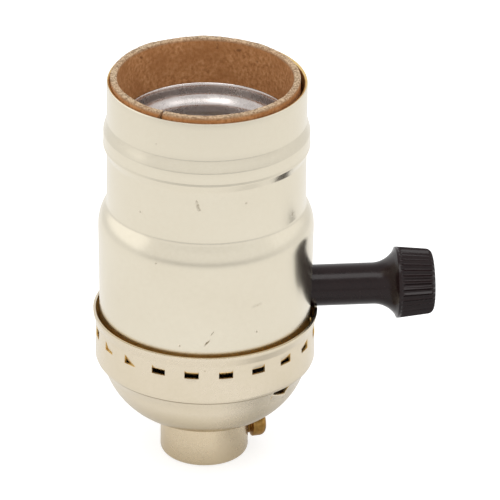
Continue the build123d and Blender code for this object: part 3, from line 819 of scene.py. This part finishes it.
def u_slot(half_width, near, far, foot):
    """Cutter for a slot with a round top at the knob's height and an open foot."""
    bm = bmesh.new()
    turns = [pi * k / 24 for k in range(25)]
    arch = [(near, half_width * cos(a), KNOB_HEIGHT + half_width * sin(a)) for a in turns]
    corners = arch + [(near, -half_width, foot), (near, half_width, foot)]
    face = bm.faces.new([bm.verts.new(corner) for corner in corners])
    grown = bmesh.ops.extrude_face_region(bm, geom=[face])
    ahead = [v for v in grown["geom"] if isinstance(v, bmesh.types.BMVert)]
    bmesh.ops.translate(bm, vec=(far - near, 0, 0), verts=ahead)
    bmesh.ops.recalc_face_normals(bm, faces=bm.faces)
    return bm


def outer_shell():
    line = rounded([
        (16.20, 67.5, 0), (16.30, 67.3, 0.15), (16.30, 60.9, 0.9), (16.86, 58.9, 1.0), (16.84, 56.95, 0.15),
        (16.90, 56.5, 0.3), (16.30, 55.1, 1.2), (16.30, 45.9, 1.5), (17.70, 43.4, 6.5), (17.40, 25.4, 1.0),
        (17.56, 24.2, 0.8), (16.8, 22.4, 0),
    ])
    bm = spun(divided(line, 1.2), SHELL_STEPS)
    thickened(bm, SHEET)
    bm = carved(bm, [u_slot(4.2, 12.0, 20.0, 20.0)])
    return softened(bm, 0.12)


shell = piece(
    outer_shell(), "shell_sheet", "socket", gilt_sheet, "outer_shell", inside=gilt_inside
)

# %% [markdown]
# The cap is drawn the same way: a dome whose section is one arc, a sharp crease, a band and a flared
# rim. Twenty windows are punched in the band and two slots are lanced under the crease. The spin has
# twelve steps to each window's pitch, so a window is five faces wide. Its lower part is left out, and
# what the punch leaves along its top is a tab, split off at its sides and pressed inwards. On a few
# windows the tab is longer or bent to one side. A lanced slot is a cut under the crease whose lower
# lip is pressed in and down, more at its right end.

# %% Cap
CAP_STEPS = 240
WINDOW_COUNT = 20
WINDOW_FACES = 5
WINDOW_TOP = 23.8
WINDOW_FOOT = 22.25
WINDOW_ROWS = (22.7, 23.12)
# How far each tab is pressed in, in turn, and for the longer tabs by window: at the left, at the right.
TAB_PUSHES = (0.26, 0.2, 0.32, 0.22, 0.28)
LONG_TABS = {16: (0.3, 0.18), 17: (0.62, 0.04), 2: (0.3, 0.5), 3: (0.16, 0.4)}
LONG_TAB_FOOT = {16: WINDOW_FOOT, 17: WINDOW_FOOT, 2: WINDOW_ROWS[0], 3: WINDOW_ROWS[0]}
WINDOW_START = radians(-84.4)
LANCE_TURNS = (radians(-49.3), radians(130.7))
LANCE_HALF = radians(6.0)
CREASE_HEIGHT = 17.7
LANCE_FOOT = 14.4
LANCE_TOP = 17.6
# The lip's travel at its left end, and how much more at its right end.
LANCE_PUSH = (0.42, 0.3)
LANCE_DROP = (0.75, 1.35)
DOME_CENTRE = Vector((4.56, 19.56))
DOME_RADIUS = 12.61
STEM_ROOM_R = 3.65


def dome_line(radius, first, last, steps):
    """Points along the dome's section between two angles in degrees."""
    angles = [radians(first + (last - first) * k / steps) for k in range(steps + 1)]
    return [DOME_CENTRE + radius * Vector((cos(a), sin(a))) for a in angles]


def cap_outline():
    floor = [Vector((6.6, 7.4))]
    dome = dome_line(DOME_RADIUS, -74.6, -17.3, 22)
    turn = [Vector((17.0, 16.45)), Vector((17.55, 17.38)), Vector((17.50, 17.54)), Vector((17.54, 17.62))]
    band = rounded([
        (17.92, CREASE_HEIGHT, 0), (18.08, 18.1, 0.4), (18.04, WINDOW_FOOT, 0), (18.03, WINDOW_ROWS[0], 0),
        (18.02, WINDOW_ROWS[1], 0), (18.0, WINDOW_TOP, 0),
        (17.98, 24.35, 0.6), (18.43, 25.65, 0.4), (18.46, 26.2, 0),
    ])
    return floor + dome + turn + band


def off_turn(angle, centre):
    """The angle from a centre, between minus and plus half a turn."""
    return (angle - centre + pi) % (2 * pi) - pi


def open_sides(faces):
    """The edges round a patch of faces."""
    return [e for f in faces for e in f.edges if sum(link in faces for link in e.link_faces) == 1]


def press_in(vertex, depth):
    """Moves a vertex towards the lamp axis."""
    radius = polar(vertex)[1]
    vertex.co.x *= (radius - depth) / radius
    vertex.co.y *= (radius - depth) / radius


def punch_windows(bm):
    """Opens each window and presses in the tab that its punch leaves along its top."""
    pitch = 2 * pi / WINDOW_COUNT
    half = pi / CAP_STEPS * WINDOW_FACES
    doomed, tabs = [], [[] for i in range(WINDOW_COUNT)]
    for face in bm.faces:
        middle = face.calc_center_median()
        turn = (atan2(middle.y, middle.x) - WINDOW_START + pitch / 2) % (2 * pi)
        if WINDOW_FOOT < middle.z < WINDOW_TOP and abs(turn % pitch - pitch / 2) < half:
            index = int(turn / pitch)
            if middle.z < LONG_TAB_FOOT.get(index, WINDOW_ROWS[1]):
                doomed.append(face)
            else:
                tabs[index].append(face)
    bmesh.ops.delete(bm, geom=doomed, context="FACES")
    for i, tab in enumerate(tabs):
        sides = [e for e in open_sides(tab) if min(v.co.z for v in e.verts) < WINDOW_TOP - 0.1]
        bmesh.ops.split_edges(bm, edges=sides)
        foot = LONG_TAB_FOOT.get(i, WINDOW_ROWS[1])
        even = TAB_PUSHES[i % len(TAB_PUSHES)]
        left, right = LONG_TABS.get(i, (even, even))
        for vertex in {v for f in tab for v in f.verts}:
            along = 0.5 + 0.5 * off_turn(polar(vertex)[0], WINDOW_START + pitch * i) / half
            share = min(1.0, max(0.0, (WINDOW_TOP - vertex.co.z) / (WINDOW_TOP - foot)))
            press_in(vertex, share * (left + (right - left) * along))


def lance_slots(bm):
    """Splits the sheet under the crease and down the slot's sides, then presses the lip in and down."""
    for centre in LANCE_TURNS:
        lip = []
        for face in bm.faces:
            middle = face.calc_center_median()
            turn = off_turn(atan2(middle.y, middle.x), centre)
            if LANCE_FOOT < middle.z < LANCE_TOP and abs(turn) < LANCE_HALF:
                lip.append(face)
        lowest = min(v.co.z for f in lip for v in f.verts)
        cut = [e for e in open_sides(lip) if max(v.co.z for v in e.verts) > lowest + 0.01]
        bmesh.ops.split_edges(bm, edges=cut)
        for vertex in {v for f in lip for v in f.verts}:
            share = min(1.0, max(0.0, (vertex.co.z - LANCE_FOOT) / (LANCE_TOP - LANCE_FOOT)))
            along = 0.5 + 0.5 * off_turn(polar(vertex)[0], centre) / LANCE_HALF
            press_in(vertex, share * (LANCE_PUSH[0] + LANCE_PUSH[1] * along))
            vertex.co.z -= share * (LANCE_DROP[0] + LANCE_DROP[1] * along)


def cap():
    start = WINDOW_START - pi / CAP_STEPS * WINDOW_FACES
    bm = spun(divided(cap_outline(), 1.6), CAP_STEPS, start=start)
    punch_windows(bm)
    lance_slots(bm)
    thickened(bm, SHEET)
    stem_room = moved(bar(STEM_ROOM_R, 15.0, 20.0), (0, 0, KNOB_HEIGHT))
    bm = carved(bm, [stem_room])
    return softened(bm, 0.06, sharper_than=62.0)


cap_piece = piece(
    cap(), "cap_sheet", "socket", gilt_cap, "cap", inside=gilt_inside, rim_from=25.9
)

# %% [markdown]
# The hub is turned from bar: a plain outside with a rounded foot, a neck through the cap, and a
# staked collar above it. Its bore has the lamp pipe's thread, 27 turns to the inch. A thread is the
# spun wall moved in and out by a triangle wave that shifts by one pitch in each turn.

# %% Threaded hub
HUB_STEPS = 144
HUB_PITCH = 25.4 / 27
HUB_THREAD_DEPTH = 0.42
BORE_R = 4.6
SET_SCREW_HEIGHT = 3.6
SET_SCREW_TURN = radians(9.0)


def wave(turns):
    """A triangle wave from 0 to 1 with a period of one turn."""
    return abs((turns % 1.0) * 2 - 1)


def threaded_hub():
    outside = rounded([
        (4.9, 0.0, 0), (7.27, 0.0, 1.0), (7.27, 7.4, 0), (6.6, 7.4, 0), (6.6, 7.8, 0), (7.6, 7.8, 0),
        (7.6, 8.9, 0.6), (4.9, 8.9, 0),
    ])
    rows = 80
    wall = [Vector((BORE_R, 8.6 - 8.3 * k / rows)) for k in range(rows + 1)]
    bm = spun(outside + wall, HUB_STEPS, closed=True)
    for vertex in bm.verts:
        angle, radius = polar(vertex)
        if radius < BORE_R + 0.05:
            run_in = min(1.0, (vertex.co.z - 0.3) / 0.4, (8.6 - vertex.co.z) / 0.4)
            deeper = HUB_THREAD_DEPTH * wave(angle / (2 * pi) - vertex.co.z / HUB_PITCH) * max(0.0, run_in)
            press_in(vertex, -deeper)
    hole = moved(bar(1.75, 0.0, 9.0), (0, 0, SET_SCREW_HEIGHT), SET_SCREW_TURN)
    return carved(bm, [hole])


hub = piece(threaded_hub(), "hub_turned", "socket", gilt_hub, "threaded_hub")

# %% [markdown]
# The set screw is small, but it stands clear of the hub in the photo: a brass screw with a rounded
# cheese head and a saw slot. It is spun about the lamp axis, where the helpers work, then laid over.

# %% Set screw
SCREW_PITCH = 0.79
SCREW_THREAD_DEPTH = 0.26
SHANK_R = 1.7


def set_screw():
    tip, under, top = 4.65, 7.9, 10.3
    head = rounded([(SHANK_R, under, 0), (2.3, under, 0.15), (2.3, top, 1.1), (0.0, top, 0)])
    rows = 44
    shank = [Vector((SHANK_R, tip + 0.4 + (under - tip - 0.5) * k / rows)) for k in range(rows + 1)]
    line = [Vector((0.0, tip)), Vector((1.25, tip))] + shank + head[1:]
    bm = spun(line, 72)
    for vertex in bm.verts:
        angle, radius = polar(vertex)
        if abs(radius - SHANK_R) < 0.01 and vertex.co.z < under - 0.15:
            run_in = min(1.0, (vertex.co.z - tip - 0.35) / 0.3)
            depth = SCREW_THREAD_DEPTH * wave(angle / (2 * pi) - vertex.co.z / SCREW_PITCH)
            press_in(vertex, depth * run_in)
    bm = carved(bm, [box((-3.0, -0.35, 9.2), (3.0, 0.35, 11.0))])
    softened(bm, 0.05, sharper_than=50.0)
    along_x(bm, SET_SCREW_HEIGHT)
    return moved(bm, turn=SET_SCREW_TURN)


screw = piece(
    set_screw(), "set_screw_turned", "set_screw", SLOT_FINISH["screw_brass"], "set_screw"
)

# %% [markdown]
# The liner is a strip of board rolled into a tube, so it has a butt seam, and its cut top edge is
# soft and uneven. It is spun as a closed section short of a full turn, which leaves the seam open,
# and noise nudges its top edge, which is also turned a little so that the seam leans there. It
# stands a little off centre, as in the photo.

# %% Insulating liner
LINER_STEPS = 220
LINER_SHIFT = -0.3
SEAM_TURN = radians(-127.5)
SEAM_HALF = radians(0.75)
SEAM_LEAN = 0.04
LEAN_FROM = 66.0


def insulating_liner():
    low, top, inside, outside = 22.4, 68.4, 14.35, 15.45
    line = rounded([
        (outside, low, 0), (outside, LEAN_FROM, 0), (outside, top, 0.22),
        (inside, top, 0.3), (inside, LEAN_FROM, 0), (inside, low, 0),
    ])
    closed = divided(line + [line[0]], 3.0)[:-1]
    sweep = 2 * pi - 2 * SEAM_HALF
    bm = spun(closed, LINER_STEPS, closed=True, start=SEAM_TURN + SEAM_HALF, sweep=sweep)
    for vertex in bm.verts:
        angle, radius = polar(vertex)
        if vertex.co.z > top - 0.5:
            fine = noise.noise(Vector((cos(angle), sin(angle), 0)) * 40 + Vector((0, 0, radius)))
            slow = noise.noise(Vector((cos(angle), sin(angle), 3)) * 3)
            vertex.co.z = min(top - 0.01, vertex.co.z + 0.07 * fine + 0.12 * slow - 0.1)
            vertex.co.x *= 1 + 0.0018 * fine
            vertex.co.y *= 1 + 0.0018 * fine
            vertex.co.xy = Matrix.Rotation(SEAM_LEAN * (vertex.co.z - LEAN_FROM), 2) @ vertex.co.xy
    moved(bm, (LINER_SHIFT, 0, 0))
    return carved(bm, [u_slot(4.7, 12.0, 18.0, 20.0)])


liner = piece(
    insulating_liner(), "liner_board", "socket", board, "insulating_liner", smooth_to=60.0
)

# %% [markdown]
# The screw shell is aluminium sheet with the lamp's knuckle thread rolled into it. A knuckle thread
# is a wave with no corners: the wall's radius follows a cosine of angle and height. Towards the top
# the wave dies out into a narrow ring, which opens into a straight collar with a turned rim.

# %% Screw shell
PITCH = 3.629
THREAD_HALF = 0.55
THREAD_MIDDLE = 13.1
COLLAR_R = 13.75
SCREW_FOOT = 37.2
THREAD_FOOT = 37.55
SCREW_RIM = 60.4
COLLAR_FROM = 59.7
SCREW_STEPS = 180
THREAD_FADE = (54.6, 56.0)
RING = (57.0, 59.0)
RING_SKEW = 0.75


def eased(value):
    """0 below 0, 1 above 1 and a smooth step between."""
    value = min(1.0, max(0.0, value))
    return value * value * (3 - 2 * value)


def screw_shell():
    rows = 110
    low = SCREW_FOOT + 0.5
    foot = [Vector((6.0, SCREW_FOOT)), Vector((12.4, SCREW_FOOT))]
    wall = [Vector((THREAD_MIDDLE, low + (COLLAR_FROM - low) * k / rows)) for k in range(rows + 1)]
    rim = [Vector((13.76, 60.05)), Vector((13.88, 60.3)), Vector((13.95, SCREW_RIM))]
    bm = spun(foot + wall + rim, SCREW_STEPS)
    for vertex in bm.verts:
        angle, radius = polar(vertex)
        if abs(radius - THREAD_MIDDLE) > 0.01:
            continue
        z = vertex.co.z
        fade = eased((z - THREAD_FADE[0]) / (THREAD_FADE[1] - THREAD_FADE[0]))
        out = eased(max(0.0, (z - RING[0]) / (RING[1] - RING[0])) ** RING_SKEW)
        rise = eased((z - SCREW_FOOT) / 1.2)
        crest = THREAD_HALF * cos(angle - 2 * pi * (z - THREAD_FOOT) / PITCH) * rise
        crest += (-THREAD_HALF - crest) * fade
        goal = THREAD_MIDDLE + crest + (COLLAR_R - THREAD_MIDDLE + THREAD_HALF) * out
        press_in(vertex, radius - goal)
    thickened(bm, 0.35)
    return softened(bm, 0.08)


screw_shell_piece = piece(
    screw_shell(), "screw_shell_rolled", "socket", SLOT_FINISH["shell_aluminium"],
    "screw_shell",
)

# %% [markdown]
# The knob is one moulding: a plain stem, a hollow flare and a head with 36 flutes, which taper with
# it and run out at its rounded end. It is spun with eight steps to a flute, then each vertex on the
# head's side moves in by a cosine, less near the flute's two ends.

# %% Knob
FLUTES = 36
FLUTE_STEPS = 8
FLUTE_DEPTH = 0.37
STEM_R = 3.43
FLARE_FROM = 27.6
FLARE_R = 4.4
FLARE_SWEEP = radians(54.3)
HEAD_R = 5.89
HEAD_FROM = 31.45
FLUTE_FROM = 32.0
HEAD_TO = 37.65


def knob():
    flare = [
        Vector((STEM_R + FLARE_R * (1 - cos(a)), FLARE_FROM + FLARE_R * sin(a)))
        for a in (FLARE_SWEEP * k / 14 for k in range(15))
    ]
    stem = [Vector((0.0, 14.6)), Vector((STEM_R - 0.3, 14.6)), Vector((STEM_R, 14.9))]
    head = rounded([
        (5.25, 31.2, 0), (HEAD_R, HEAD_FROM, 0.12), (HEAD_R, 31.78, 0.15), (5.3, HEAD_TO - 0.1, 1.05),
        (0.0, 37.94, 0),
    ])
    line = divided(stem, 0.8) + divided([Vector((STEM_R, 14.9)), Vector((STEM_R, FLARE_FROM))], 1.0)[1:]
    line += flare[1:] + divided(head[1:], 0.25)
    bm = spun(line, FLUTES * FLUTE_STEPS)
    for vertex in bm.verts:
        angle, radius = polar(vertex)
        along = vertex.co.z
        if along < FLUTE_FROM - 0.3 or radius < 4.3:
            continue
        ends = eased((along - FLUTE_FROM + 0.15) / 0.35) * eased((radius - 4.3) / 0.7)
        press_in(vertex, FLUTE_DEPTH * ends * (0.5 + 0.5 * cos(angle * FLUTES)) ** 0.7)
    return along_x(bm, KNOB_HEIGHT)


knob_piece = piece(
    knob(), "knob_moulded", "knob_and_rotor", SLOT_FINISH["knob_plastic"], "knob"
)
